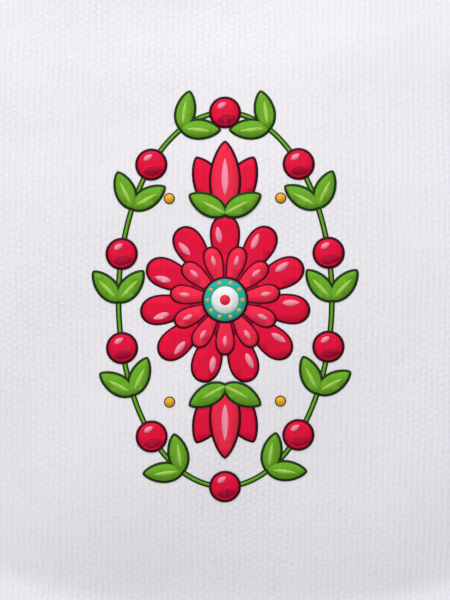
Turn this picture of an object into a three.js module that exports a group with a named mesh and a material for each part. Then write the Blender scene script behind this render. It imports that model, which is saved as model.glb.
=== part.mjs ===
// A baby's T-shirt of white rib-knit cotton, laid loosely on a flat surface with its front up.
// Millimetres, +Z up, +Y towards the neck. The pieces are the cut pieces of the real garment:
// a front and a back panel, two sleeves, a doubled rib collar and a strip of neck tape.
// Plan positions are first worked out with y = 0 at the hem, and the whole shirt is centred at the end.

import * as THREE from "three";

// Driving dimensions of the cut
const CHEST_HALF = 135;
const HEM_HALF = 139;
const BODY_LENGTH = 350; // from the hem to the neck end of the shoulder seam
const UNDERARM_Y = 215;
const SHOULDER_HALF = 112;
const SHOULDER_DROP = 20;
const ARMHOLE_HALF = 106; // narrowest half width between the armholes
const NECK_HALF = 58;
const FRONT_NECK_DROP = 58;
const BACK_NECK_DROP = 16;
const SLEEVE_LENGTH = 92; // along the upper fold
const SLEEVE_SLOPE = THREE.MathUtils.degToRad(22);
const CUFF_WIDTH = 82;
const HEM_DEPTH = 15;
const CUFF_HEM_DEPTH = 12;
const HEM_DROOP = 3;
const ARMHOLE_POWER = 1.7; // how much closer together the armhole's rows are near the underarm
const NECK_SHARE = 0.6; // share of a panel's columns that end at the neckline
const PANEL_COLUMNS = 32;
const PANEL_ROW = 8.6; // spacing of the front's rows below the armholes

// Cloth
const CLOTH = 1.0; // thickness of one layer
const GAP = 0.3; // clearance between pieces that touch
const SEAM_GAP = 0.4;
const COLLAR_THICKNESS = 1.6;
const COLLAR_FOLD_Z = 3.0; // middle of the upper layer where the collar folds over
const COLLAR_FOLD_RADIUS = (COLLAR_FOLD_Z - COLLAR_THICKNESS / 2) / 2;
const COLLAR_FREE_HALF = 44; // half width of the opening inside the collar
const COLLAR_RISE = 6; // how far the folds stand above the shoulder seams
const COLLAR_FRONT_DROP = 49; // from the folds down to the free edge in front
const COLLAR_BACK_DROP = 7;
const COLLAR_FALL = 1.2; // how much lower the free edge lies in front
const COLLAR_BLUNTNESS = 0.08; // keeps the folds from being sharp
const COLLAR_LIFT = [0.02, 0.55]; // sines between which it rises to the front's height
const TAPE_BELOW_SEAM = 0.6;
const TAPE_HALF = 36;
const TAPE_WIDTH = 9;
const TAPE_THICKNESS = 0.7;

// How high the front lies above the back
const EDGE_SOFTNESS = 27; // how far from a seam the cloth takes to rise
const BODY_PUFF = 18.5; // at the fullest line across the chest
const BODY_FULLEST_Y = 195;
const BODY_FALL = 3.8; // how much lower it is 100 mm up or down from there
const NECK_PUFF = 11.5;
const HEM_PUFF = 13.5;
const SLEEVE_PUFF = 14.5;
const HEM_RISE = [-10, 75]; // stretch of y in which the hem's height passes into the body's
const NECK_FALL = [215, 300]; // stretch of y in which the body's height passes into the neck's
const NECK_REACH = 90;
const SLEEVE_REACH = [95, 135]; // stretch of x in which the body's height passes into the sleeve's

// Nothing laid down by hand is quite straight: sideways sway of the side seams, waviness of the hem,
// and the one side a little higher than the other
const SWAY = { size: 1.5, length: 165, rightPhase: 0.5, leftPhase: 2.7 };
const HEM_WAVE = { size: 1.3, length: 180, phase: 0.9 };
const SIDE_WAVE = { size: 1.2, length: 420, phase: 0.3 };
const DROOP_ABOVE_HEM = 100;

const SHOULDER_Y = BODY_LENGTH - SHOULDER_DROP;
const NECK_POINT = [NECK_HALF, BODY_LENGTH];
const SHOULDER_POINT = [SHOULDER_HALF, SHOULDER_Y];
const UNDERARM = [CHEST_HALF, UNDERARM_Y];
const CUFF_TOP = [
  SHOULDER_HALF + SLEEVE_LENGTH * Math.cos(SLEEVE_SLOPE),
  SHOULDER_Y - SLEEVE_LENGTH * Math.sin(SLEEVE_SLOPE),
];
const CUFF_BOTTOM = [
  CUFF_TOP[0] - CUFF_WIDTH * Math.sin(SLEEVE_SLOPE),
  CUFF_TOP[1] - CUFF_WIDTH * Math.cos(SLEEVE_SLOPE),
];

const { lerp, smoothstep } = THREE.MathUtils;
const bell = (x, width) => Math.exp(-((x / width) ** 2));
const wave = (x, length, phase) => Math.sin((2 * Math.PI * x) / length + phase);

// The place in plan that a point of the cut settles at
function settle(x, y) {
  const side = (x / CHEST_HALF) ** 2;
  const low = (1 - y / BODY_LENGTH) ** 2;
  const sway = SWAY.size * side * wave(y, SWAY.length, x > 0 ? SWAY.rightPhase : SWAY.leftPhase);
  const droop = HEM_DROOP * Math.max(0, 1 - side) * Math.max(0, 1 - y / DROOP_ABOVE_HEM) ** 2;
  const hem = HEM_WAVE.size * low * wave(x, HEM_WAVE.length, HEM_WAVE.phase);
  const slant = SIDE_WAVE.size * side * wave(x, SIDE_WAVE.length, SIDE_WAVE.phase);
  return [x + sway, y - droop + hem + slant];
}

// Distance from (x, y) to the line through the given points
function distanceTo(points, x, y) {
  let best = Infinity;
  for (let i = 1; i < points.length; i++) {
    const [ax, ay] = points[i - 1];
    const dx = points[i][0] - ax;
    const dy = points[i][1] - ay;
    const along = ((x - ax) * dx + (y - ay) * dy) / (dx * dx + dy * dy);
    const t = Math.min(1, Math.max(0, along));
    best = Math.min(best, Math.hypot(x - ax - t * dx, y - ay - t * dy));
  }
  return best;
}

// Half width of the body at height y: side seam below the underarm, armhole above it
function halfWidth(y) {
  if (y <= UNDERARM_Y) return lerp(HEM_HALF, CHEST_HALF, y / UNDERARM_Y);
  const q = Math.min(1, (y - UNDERARM_Y) / (SHOULDER_Y - UNDERARM_Y));
  const scoop = (CHEST_HALF - ARMHOLE_HALF) * (1 - Math.sqrt(q)) ** 2;
  return ARMHOLE_HALF + scoop + (SHOULDER_HALF - ARMHOLE_HALF) * q * q;
}

// Height of the neckline or shoulder seam at distance x from the middle
function topEdge(x, neckDrop) {
  const a = Math.abs(x);
  if (a < NECK_HALF) return BODY_LENGTH - neckDrop * Math.sqrt(1 - (a / NECK_HALF) ** 2);
  return BODY_LENGTH - (SHOULDER_DROP * (a - NECK_HALF)) / (SHOULDER_HALF - NECK_HALF);
}

const LOWER_SEAM = [[HEM_HALF, -20], UNDERARM, CUFF_BOTTOM];
const UPPER_SEAM = [NECK_POINT, SHOULDER_POINT, CUFF_TOP];

// 0 on the closed seams and folds, 1 well away from them
function openness(x, y) {
  let open = 1;
  for (const side of [x, -x]) {
    open *= 1 - bell(distanceTo(LOWER_SEAM, side, y), EDGE_SOFTNESS);
    open *= 1 - bell(distanceTo(UPPER_SEAM, side, y), EDGE_SOFTNESS);
  }
  return open;
}

// One soft fold: a ridge from a point in a direction, fading towards both ends
const FOLD_FADE = 0.42;
function fold(x, y, { from, angle, length, width, height }) {
  const a = THREE.MathUtils.degToRad(angle);
  const dx = x - from[0];
  const dy = y - from[1];
  const along = (dx * Math.cos(a) + dy * Math.sin(a)) / length;
  const across = -dx * Math.sin(a) + dy * Math.cos(a);
  return height * bell(along - 0.5, FOLD_FADE) * bell(across, width);
}

// The curved dip across the belly: its flank above is long, the one below short, and a roll of cloth
// lies below it
const DIP = { middle: 8.2, lowest: 82.3, curve: 0.00229, depth: 5, above: 34, below: 15, reach: 130 };
const DIP_ROUNDING = 3;
const ROLL = { below: 24, height: 3.2, width: 15 };

const FOLDS = [
  { from: [129, 202], angle: 222, length: 56, width: 8, height: 3.4 },
  { from: [134, 172], angle: 212, length: 40, width: 8, height: -2.2 },
  { from: [128, 150], angle: 232, length: 66, width: 8, height: 2.6 },
  { from: [-128, 204], angle: -46, length: 58, width: 8, height: 3.2 },
  { from: [-134, 172], angle: -34, length: 38, width: 8, height: -2.2 },
  { from: [-130, 142], angle: -58, length: 60, width: 8, height: 2.8 },
  { from: [104, 300], angle: 236, length: 60, width: 9, height: 2.0 },
  { from: [-103, 304], angle: -60, length: 56, width: 9, height: 2.2 },
  { from: [138, 232], angle: 52, length: 52, width: 7, height: 2.4 },
  { from: [140, 236], angle: 22, length: 50, width: 7, height: -2.0 },
  { from: [-138, 230], angle: 130, length: 54, width: 7, height: 2.6 },
  { from: [-141, 238], angle: 160, length: 48, width: 7, height: -2.0 },
  { from: [96, 78], angle: 262, length: 70, width: 10, height: 2.2 },
  { from: [-88, 70], angle: 276, length: 66, width: 11, height: 2.4 },
  { from: [34, 44], angle: 268, length: 52, width: 12, height: 1.8 },
  { from: [-28, 40], angle: 262, length: 50, width: 10, height: -1.8 },
  { from: [-115, 251], angle: 5, length: 230, width: 15, height: 1.1 },
  { from: [-50, 76], angle: 2, length: 120, width: 22, height: -1.7 },
];

// Broad unevenness of loosely laid cloth: wavelength in x and y, phase, height
const WAVES = [
  [150, 210, 0.4, 0.5],
  [96, -170, 1.9, 0.35],
  [-120, 88, 3.3, 0.3],
  [64, 140, 5.1, 0.22],
];

// How far the front lies above the back, before it is pressed down at the seams
function puff(x, y) {
  const body = BODY_PUFF - BODY_FALL * ((y - BODY_FULLEST_Y) / 100) ** 2;
  let high = lerp(HEM_PUFF, body, smoothstep(y, ...HEM_RISE));
  high = lerp(high, NECK_PUFF, smoothstep(y, ...NECK_FALL) * bell(x, NECK_REACH));
  high = lerp(high, SLEEVE_PUFF, smoothstep(Math.abs(x), ...SLEEVE_REACH));
  const q = y - DIP.lowest - DIP.curve * (x - DIP.middle) ** 2;
  const reach = bell(x - DIP.middle, DIP.reach);
  const away = Math.hypot(q, DIP_ROUNDING) - DIP_ROUNDING;
  high -= DIP.depth * reach * Math.exp(-away / (q > 0 ? DIP.above : DIP.below));
  high += ROLL.height * reach * bell(q + ROLL.below, ROLL.width);
  for (const f of FOLDS) high += fold(x, y, f);
  for (const [wx, wy, phase, height] of WAVES)
    high += height * Math.sin(2 * Math.PI * (x / wx + y / wy) + phase);
  return Math.max(0, high);
}

// Thickness of one layer at height y of the body, doubled where the hem is turned inside
const bodyCloth = (y) => CLOTH * (2 - smoothstep(y, HEM_DEPTH - 2, HEM_DEPTH + 2));
const cuffDistance = (x, y) => distanceTo([CUFF_TOP, CUFF_BOTTOM], Math.abs(x), y);
const sleeveCloth = (x, y) =>
  CLOTH * (2 - smoothstep(cuffDistance(x, y), CUFF_HEM_DEPTH - 2, CUFF_HEM_DEPTH + 2));

// Top of the front cloth, where one layer is that thick
const frontHeight = (x, y, cloth) => 2 * cloth + GAP + openness(x, y) * puff(x, y);

// A closed sheet of cloth: a box whose grid of columns and rows is moved to its place
function sheet(columns, rows, place) {
  const geometry = new THREE.BoxGeometry(2, 2, 2, columns, rows, 1);
  const position = geometry.attributes.position;
  for (let i = 0; i < position.count; i++) {
    const column = Math.round(((position.getX(i) + 1) / 2) * columns);
    const row = Math.round(((position.getY(i) + 1) / 2) * rows);
    const [x, y, z] = place(column, row, position.getZ(i) > 0);
    position.setXYZ(i, ...settle(x, y), z);
  }
  return geometry;
}

// A closed ring of cloth: a lathed tube whose stations and crosswise steps are moved to their place.
// On side -1 it is made to be mirrored in x afterwards.
function ring(stations, steps, side, place) {
  const profile = [];
  for (let s = 0; s <= steps; s++) profile.push(new THREE.Vector2(2, s));
  for (let s = steps; s >= 0; s--) profile.push(new THREE.Vector2(1, s));
  profile.push(profile[0].clone());
  const geometry = new THREE.LatheGeometry(profile, stations);
  const position = geometry.attributes.position;
  const count = profile.length;
  for (let i = 0; i < position.count; i++) {
    const station = Math.floor(i / count) % stations;
    const j = i % count;
    const outer = j <= steps || j === count - 1;
    const across = j <= steps ? j : j === count - 1 ? 0 : 2 * steps + 1 - j;
    const [x, y, z] = place(station, across / steps, outer);
    const [settledX, settledY] = settle(side * x, y);
    position.setXYZ(i, side * settledX, settledY, z);
  }
  return geometry;
}

const SLEEVE_STEPS = 9;
const FOLD_OUTSIDE = 0.7; // how far the fold's outer and inner skins lie outside the pattern line
const FOLD_INSIDE = -0.2;

// Rows of a panel, as heights at its side: the hem, the side seam and then the armhole
const ARMHOLE_ROWS = 12;
const armholeRow = (i) => lerp(UNDERARM_Y, SHOULDER_Y, (i / ARMHOLE_ROWS) ** ARMHOLE_POWER);
const hemRows = [0, 6, HEM_DEPTH - 2, HEM_DEPTH + 2];
const armholeRows = Array.from({ length: ARMHOLE_ROWS }, (_, i) => armholeRow(i + 1));
function panelRows(step) {
  const start = HEM_DEPTH + 2;
  const count = Math.round((UNDERARM_Y - start) / step);
  const side = Array.from({ length: count }, (_, i) => lerp(start, UNDERARM_Y, (i + 1) / count));
  return [...hemRows, ...side, ...armholeRows];
}

// Columns of a panel, as distances from the middle at its top, denser where the neckline is steep
function columnTop(c) {
  const a = Math.abs(c);
  if (a <= NECK_SHARE) return Math.sign(c) * NECK_HALF * Math.sin((Math.PI / 2) * (a / NECK_SHARE));
  return Math.sign(c) * lerp(NECK_HALF, SHOULDER_HALF, (a - NECK_SHARE) / (1 - NECK_SHARE));
}

// Plan position of a point of a panel
function onPanel(c, rowHeight, neckDrop) {
  const topX = columnTop(c);
  const topY = topEdge(topX, neckDrop);
  const share = (rowHeight - UNDERARM_Y) / (SHOULDER_Y - UNDERARM_Y);
  const y = rowHeight <= UNDERARM_Y ? rowHeight : lerp(UNDERARM_Y, topY, share);
  return [(topX * halfWidth(y)) / halfWidth(topY), y];
}

function panel(columns, rows, neckDrop, front) {
  return sheet(columns, rows.length - 1, (column, row, top) => {
    const [x, y] = onPanel((2 * column) / columns - 1, rows[row], neckDrop);
    const cloth = bodyCloth(y);
    if (!front) return [x, y, top ? cloth : 0];
    return [x, y, frontHeight(x, y, cloth) - (top ? 0 : cloth)];
  });
}

// Point of the sleeve's seam line at row i of the armhole
function armholePoint(i) {
  const y = armholeRow(i);
  const x = halfWidth(y);
  const slope = halfWidth(y + 0.5) - halfWidth(y - 0.5);
  const out = new THREE.Vector2(1, -slope).setLength(SEAM_GAP);
  return [x + out.x, y + out.y];
}

// A sleeve, as on the side of +x: a flat tube whose stations run down the upper layer from the
// shoulder to the underarm, round the fold and back up the lower layer to the other fold
function sleeve(side) {
  const underarmFold = ARMHOLE_ROWS + 1;
  const stations = 2 * underarmFold + 2;
  const shoulderFold = stations - 1;
  return ring(stations, SLEEVE_STEPS, side, (station, along, outer) => {
    const upper = station < underarmFold;
    const down = Math.min(upper ? station : stations - 2 - station, ARMHOLE_ROWS);
    const share = Math.max(0, down) / ARMHOLE_ROWS;
    const [armX, armY] = armholePoint(ARMHOLE_ROWS - Math.max(0, down));
    const x = lerp(armX, lerp(CUFF_TOP[0], CUFF_BOTTOM[0], share), along);
    const y = lerp(armY, lerp(CUFF_TOP[1], CUFF_BOTTOM[1], share), along);
    const cloth = sleeveCloth(x, y);
    const out = outer ? FOLD_OUTSIDE : FOLD_INSIDE;
    if (station === underarmFold) return [x, y - out, cloth + GAP / 2];
    if (station === shoulderFold) return [x, y + out, cloth + GAP / 2];
    if (upper) return [x, y, frontHeight(side * x, y, cloth) - (outer ? 0 : cloth)];
    return [x, y, outer ? 0 : cloth];
  });
}

// Size of a sine, from 0 to 1, rounded off at 0
function bluntSine(sine) {
  return sine ** 2 / Math.hypot(sine, COLLAR_BLUNTNESS);
}

// The collar: a band that follows the neckline, folded over at both shoulder seams
function collarMiddle(angle, across) {
  const front = Math.sin(angle) >= 0;
  const sine = bluntSine(Math.sin(angle));
  const cosine = Math.cos(angle);
  const drop = front ? FRONT_NECK_DROP : BACK_NECK_DROP;
  const freeDrop = front ? COLLAR_FRONT_DROP : COLLAR_BACK_DROP;
  const seam = [(NECK_HALF - SEAM_GAP) * cosine, BODY_LENGTH + (SEAM_GAP - drop) * sine];
  const free = [COLLAR_FREE_HALF * cosine, BODY_LENGTH + COLLAR_RISE - freeDrop * sine];
  const lift = smoothstep(sine, ...COLLAR_LIFT);
  const cloth = bodyCloth(seam[1]);
  const panelMiddle = frontHeight(seam[0], seam[1], cloth) - cloth / 2;
  const high = lerp(COLLAR_FOLD_Z, panelMiddle, lift);
  const belowFold = lerp(drop - SEAM_GAP, freeDrop, across) * sine;
  const bend = Math.min(belowFold / COLLAR_FOLD_RADIUS, 1);
  const turn = Math.sqrt(bend * (2 - bend));
  const layer = front ? high - across * lift * COLLAR_FALL : COLLAR_THICKNESS / 2;
  const z = lerp(COLLAR_FOLD_Z - COLLAR_FOLD_RADIUS, layer, turn);
  return new THREE.Vector3(lerp(seam[0], free[0], across), lerp(seam[1], free[1], across), z);
}

const COLLAR_STATIONS = 72;
const COLLAR_STEPS = 4;
const COLLAR_CROWDING = 0.4; // how much closer together the stations are at the two folds
const TANGENT_STEP = 0.004;

function collar() {
  return ring(COLLAR_STATIONS, COLLAR_STEPS, 1, (station, across, outer) => {
    const turn = (2 * Math.PI * station) / COLLAR_STATIONS;
    const angle = turn - COLLAR_CROWDING * Math.sin(2 * turn);
    const middle = collarMiddle(angle, across);
    const before = collarMiddle(angle - TANGENT_STEP, across);
    const ahead = collarMiddle(angle + TANGENT_STEP, across).sub(before);
    const inward = collarMiddle(angle, 1).sub(collarMiddle(angle, 0));
    const normal = new THREE.Vector3().crossVectors(ahead, inward).normalize();
    const side = outer ? COLLAR_THICKNESS / 2 : -COLLAR_THICKNESS / 2;
    return middle.addScaledVector(normal, side).toArray();
  });
}

// The tape over the back neck seam, on the inside of the back panel
const TAPE_COLUMNS = 18;
function neckTape() {
  return sheet(TAPE_COLUMNS, 1, (column, row, top) => {
    const x = TAPE_HALF * ((2 * column) / TAPE_COLUMNS - 1);
    const y = topEdge(x, BACK_NECK_DROP) - TAPE_BELOW_SEAM - (row ? 0 : TAPE_WIDTH);
    return [x, y, CLOTH + GAP + (top ? TAPE_THICKNESS : 0)];
  });
}

const white = { color: 0xe9e8ea, roughness: 0.92, metalness: 0 };
const jersey = new THREE.MeshStandardMaterial(white);
const rib = new THREE.MeshStandardMaterial({ ...white, color: 0xe4e3e6 });
const tape = new THREE.MeshStandardMaterial({ ...white, color: 0xdedde0 });

function piece(name, geometry, material) {
  const mesh = new THREE.Mesh(geometry, material);
  mesh.name = name;
  return mesh;
}

const shirt = new THREE.Group();
const frontRows = panelRows(PANEL_ROW);
const backRows = panelRows(4 * PANEL_ROW);
shirt.add(piece("front_panel", panel(PANEL_COLUMNS, frontRows, FRONT_NECK_DROP, true), jersey));
shirt.add(piece("back_panel", panel(PANEL_COLUMNS / 2, backRows, BACK_NECK_DROP, false), jersey));
shirt.add(piece("sleeve_right", sleeve(1), jersey));
const left = piece("sleeve_left", sleeve(-1), jersey);
left.scale.x = -1;
shirt.add(left);
shirt.add(piece("collar", collar(), rib));
shirt.add(piece("neck_tape", neckTape(), tape));

// The origin is under the middle of the shirt's bounding box
const bounds = new THREE.Box3().setFromObject(shirt);
const centre = bounds.getCenter(new THREE.Vector3());
shirt.position.set(-centre.x, -centre.y, -bounds.min.z);

export default shirt;
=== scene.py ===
"""A baby's T-shirt of white rib-knit cotton with a flower print, laid flat: the dressed model."""

import math

import bmesh
import bpy
from bpy.props import FloatProperty, FloatVectorProperty, IntProperty, PointerProperty
from mathutils import Matrix, Vector


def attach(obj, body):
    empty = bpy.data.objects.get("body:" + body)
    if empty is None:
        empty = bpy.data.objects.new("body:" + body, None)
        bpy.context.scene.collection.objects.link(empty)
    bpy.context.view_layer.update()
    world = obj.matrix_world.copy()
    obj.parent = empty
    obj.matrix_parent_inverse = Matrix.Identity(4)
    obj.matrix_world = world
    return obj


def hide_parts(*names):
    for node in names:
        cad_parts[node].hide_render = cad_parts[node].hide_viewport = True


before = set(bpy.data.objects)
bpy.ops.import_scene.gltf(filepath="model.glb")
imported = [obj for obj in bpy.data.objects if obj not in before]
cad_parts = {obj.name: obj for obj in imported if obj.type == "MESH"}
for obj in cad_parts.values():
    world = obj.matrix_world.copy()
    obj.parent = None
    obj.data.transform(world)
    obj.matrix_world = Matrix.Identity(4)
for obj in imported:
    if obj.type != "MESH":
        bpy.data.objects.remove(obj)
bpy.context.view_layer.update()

bl_info = {
    "name": "Baby's T-shirt",
    "version": (1, 0, 0),
    "blender": (4, 5, 0),
    "location": "3D View > Sidebar > Shirt",
    "description": "Dresses the shirt's frame with knitted cloth, seams, stitching and a printed front",
    "category": "Object",
}

# The cut, in millimetres with y = 0 at the hem, as in the part's source
CHEST_HALF = 135
HEM_HALF = 139
BODY_LENGTH = 350
UNDERARM_Y = 215
SHOULDER_HALF = 112
SHOULDER_DROP = 20
ARMHOLE_HALF = 106
NECK_HALF = 58
FRONT_NECK_DROP = 58
BACK_NECK_DROP = 16
SLEEVE_LENGTH = 92
SLEEVE_SLOPE = math.radians(22)
CUFF_WIDTH = 82
HEM_DEPTH = 15
CUFF_HEM_DEPTH = 12
HEM_DROOP = 3
CLOTH = 1.0
GAP = 0.3
SEAM_GAP = 0.4

# The collar and the neck tape
COLLAR_THICKNESS = 1.6
COLLAR_FOLD_Z = 3.0
COLLAR_FOLD_RADIUS = (COLLAR_FOLD_Z - COLLAR_THICKNESS / 2) / 2
COLLAR_FREE_HALF = 44
COLLAR_RISE = 6
COLLAR_FRONT_DROP = 49
COLLAR_BACK_DROP = 7
COLLAR_FALL = 1.2
COLLAR_BLUNTNESS = 0.08
COLLAR_LIFT = (0.02, 0.55)
TANGENT_STEP = 0.004
TAPE_BELOW_SEAM = 0.6
TAPE_HALF = 36
TAPE_WIDTH = 9
TAPE_THICKNESS = 0.7

# How far the front is puffed up between its seams
EDGE_SOFTNESS = 27
BODY_PUFF = 18.5
BODY_FULLEST_Y = 195
BODY_FALL = 3.8
NECK_PUFF = 11.5
HEM_PUFF = 13.5
SLEEVE_PUFF = 14.5
HEM_RISE = (-10, 75)
NECK_FALL = (215, 300)
NECK_REACH = 90
SLEEVE_REACH = (95, 135)

# How the cut settles in plan: size, wavelength and phase of its waves
SWAY_SIZE = 1.5
SWAY_LENGTH = 165
SWAY_PHASES = (2.7, 0.5)
HEM_WAVE = (1.3, 180, 0.9)
SIDE_WAVE = (1.2, 420, 0.3)
DROOP_ABOVE_HEM = 100

# The dip across the front and the roll below it
DIP_MIDDLE = 8.2
DIP_LOWEST = 82.3
DIP_CURVE = 0.00229
DIP_DEPTH = 5
DIP_ABOVE = 34
DIP_BELOW = 15
DIP_REACH = 130
DIP_ROUNDING = 3
ROLL_BELOW = 24
ROLL_HEIGHT = 3.2
ROLL_WIDTH = 15

# How the columns and rows of the panels are shared out
NECK_SHARE = 0.6
ARMHOLE_POWER = 1.7
ARMHOLE_ROWS = 1.6
TOP_ZONE = 4
TOP_ROWS = (2.6, 1.4, 0.6, 0.0)
BACK_COLUMNS = 3  # the back keeps one column in this many

SHOULDER_Y = BODY_LENGTH - SHOULDER_DROP
NECK_POINT = (NECK_HALF, BODY_LENGTH)
SHOULDER_POINT = (SHOULDER_HALF, SHOULDER_Y)
UNDERARM = (CHEST_HALF, UNDERARM_Y)
SLEEVE_AXIS = (math.cos(SLEEVE_SLOPE), -math.sin(SLEEVE_SLOPE))
CUFF_TOP = (SHOULDER_HALF + SLEEVE_LENGTH * SLEEVE_AXIS[0], SHOULDER_Y + SLEEVE_LENGTH * SLEEVE_AXIS[1])
CUFF_BOTTOM = (CUFF_TOP[0] + CUFF_WIDTH * SLEEVE_AXIS[1], CUFF_TOP[1] - CUFF_WIDTH * SLEEVE_AXIS[0])
LOWER_SEAM = ((HEM_HALF, -20), UNDERARM, CUFF_BOTTOM)
UPPER_SEAM = (NECK_POINT, SHOULDER_POINT, CUFF_TOP)

# Middle of the shirt's box in the cut's coordinates, which is the frame's origin
MIDDLE_X = 0.43976593
MIDDLE_Y = 176.54357968

# Soft folds: start, direction in degrees, length, width, height
FOLD_FADE = 0.42
FOLDS = (
    ((129, 202), 222, 56, 8, 3.4),
    ((134, 172), 212, 40, 8, -2.2),
    ((128, 150), 232, 66, 8, 2.6),
    ((-128, 204), -46, 58, 8, 3.2),
    ((-134, 172), -34, 38, 8, -2.2),
    ((-130, 142), -58, 60, 8, 2.8),
    ((104, 300), 236, 60, 9, 2.0),
    ((-103, 304), -60, 56, 9, 2.2),
    ((138, 232), 52, 52, 7, 2.4),
    ((140, 236), 22, 50, 7, -2.0),
    ((-138, 230), 130, 54, 7, 2.6),
    ((-141, 238), 160, 48, 7, -2.0),
    ((96, 78), 262, 70, 10, 2.2),
    ((-88, 70), 276, 66, 11, 2.4),
    ((34, 44), 268, 52, 12, 1.8),
    ((-28, 40), 262, 50, 10, -1.8),
    ((-115, 251), 5, 230, 15, 1.1),
    ((-50, 76), 2, 120, 22, -1.7),
)

# Unevenness of loosely laid cloth: wavelength in x and y, phase, height
WAVES = (
    (150, 210, 0.4, 0.5),
    (96, -170, 1.9, 0.35),
    (-120, 88, 3.3, 0.3),
    (64, 140, 5.1, 0.22),
)

# What the cloth does beyond the solid: pressed seams, stitch grooves and puckers, in millimetres
TURN_RADIUS = 1.0
OUTER_TURN = 5  # points of the turn that count with the outer face
HEM_EASE = 2
PAST_HEM = 3
STITCH_ROWS = (6.5, 11.5)
CUFF_STITCH_ROWS = (4.5, 9.0)
NECK_STITCH_OFFSET = 2.4
TAPE_STITCH_ROWS = (1.2, TAPE_WIDTH - 1.2)
STITCH_END = 2.5
GROOVE_DEPTH = 0.22
GROOVE_WIDTH = 0.8
PUCKER_HEIGHT = 0.22
PUCKER_REACH = 6
PUCKER_WAVES = ((1.0, 8.7, 0.4), (0.7, 13.1, 2.0), (0.5, 5.3, 4.1))  # share, length, phase
HEM_PUCKERS = 0.8
CUFF_PUCKERS = 0.6
HEM_ZONE = 40
SIDE_ZONE = 30
SIDE_SHIFT = 40
ARMHOLE_EASE = 2
FOLD_EASE = 3
CUFF_EASE = 4

# The sleeves: rows beside the cuff, and how their folds bulge
SHARED_ROWS = 0.84
CUFF_ZONE = 15
CUFF_STEPS = (14, 12.5, 11, 9.8, 9, 8.2, 7, 5.7, 5.0, 4.5, 4.0, 3.3, 2.4, 1.6)
FOLD_BULGE = 0.75
UNDERARM_OUT = (0.13, -0.99)

# The collar's ribs and its band of cloth, the tape and the ink
COLLAR_WIDTH = 15.5
COLLAR_EDGE = (-0.025, -0.01, 0.015, 0.06)
COLLAR_CLOTH = 0.00062  # metres
RIB_SEGMENTS = 6
RIB_HEIGHT = 0.17
RIB_SINK = 0.12
FOLD_FULLNESS = 0.9
TAPE_SINK = 0.12
TAPE_CROWN = 0.1
TAPE_CLOTH = 0.0006  # metres
TAPE_ROUNDING = 0.0001  # metres
INK_THICKNESS = 0.00003  # metres

PRINT_MIDDLE_Y = 184.5


def lerp(a, b, t):
    return a + (b - a) * t


def smoothstep(x, low, high):
    t = min(1.0, max(0.0, (x - low) / (high - low)))
    return t * t * (3 - 2 * t)


def bell(x, width):
    return math.exp(-((x / width) ** 2))


def wave(x, length, phase):
    return math.sin(2 * math.pi * x / length + phase)


def spread(low, high, steps):
    """Evenly spaced values from low to high, both included."""
    return [lerp(low, high, i / steps) for i in range(steps + 1)]


def settle(x, y):
    """The place in plan that a point of the cut settles at."""
    side = (x / CHEST_HALF) ** 2
    low = (1 - y / BODY_LENGTH) ** 2
    sway = SWAY_SIZE * side * wave(y, SWAY_LENGTH, SWAY_PHASES[x > 0])
    droop = HEM_DROOP * max(0, 1 - side) * max(0, 1 - y / DROOP_ABOVE_HEM) ** 2
    hem = HEM_WAVE[0] * low * wave(x, *HEM_WAVE[1:])
    slant = SIDE_WAVE[0] * side * wave(x, *SIDE_WAVE[1:])
    return x + sway, y - droop + hem + slant


def to_row(x, y, z):
    """The frame's point, in metres, for a point of the laid cut in millimetres."""
    x, y = settle(x, y)
    return Vector(((x - MIDDLE_X) / 1000, (y - MIDDLE_Y) / 1000, z / 1000))


def distance_to(points, x, y):
    best = math.inf
    for (ax, ay), (bx, by) in zip(points, points[1:]):
        dx, dy = bx - ax, by - ay
        t = min(1.0, max(0.0, ((x - ax) * dx + (y - ay) * dy) / (dx * dx + dy * dy)))
        best = min(best, math.hypot(x - ax - t * dx, y - ay - t * dy))
    return best


def half_width(y):
    """Half width of the body: side seam below the underarm, armhole above it."""
    if y <= UNDERARM_Y:
        return lerp(HEM_HALF, CHEST_HALF, y / UNDERARM_Y)
    q = min(1.0, (y - UNDERARM_Y) / (SHOULDER_Y - UNDERARM_Y))
    scoop = (CHEST_HALF - ARMHOLE_HALF) * (1 - math.sqrt(q)) ** 2
    return ARMHOLE_HALF + scoop + (SHOULDER_HALF - ARMHOLE_HALF) * q * q


def top_edge(x, neck_drop):
    """Height of the neckline or shoulder seam."""
    a = abs(x)
    if a < NECK_HALF:
        return BODY_LENGTH - neck_drop * math.sqrt(1 - (a / NECK_HALF) ** 2)
    return BODY_LENGTH - SHOULDER_DROP * (a - NECK_HALF) / (SHOULDER_HALF - NECK_HALF)


def openness(x, y):
    """0 on the closed seams and folds, 1 well away from them."""
    open_share = 1.0
    for side in (x, -x):
        open_share *= 1 - bell(distance_to(LOWER_SEAM, side, y), EDGE_SOFTNESS)
        open_share *= 1 - bell(distance_to(UPPER_SEAM, side, y), EDGE_SOFTNESS)
    return open_share


def fold(x, y, start, angle, length, width, height):
    a = math.radians(angle)
    dx, dy = x - start[0], y - start[1]
    along = (dx * math.cos(a) + dy * math.sin(a)) / length
    across = -dx * math.sin(a) + dy * math.cos(a)
    return height * bell(along - 0.5, FOLD_FADE) * bell(across, width)


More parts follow.
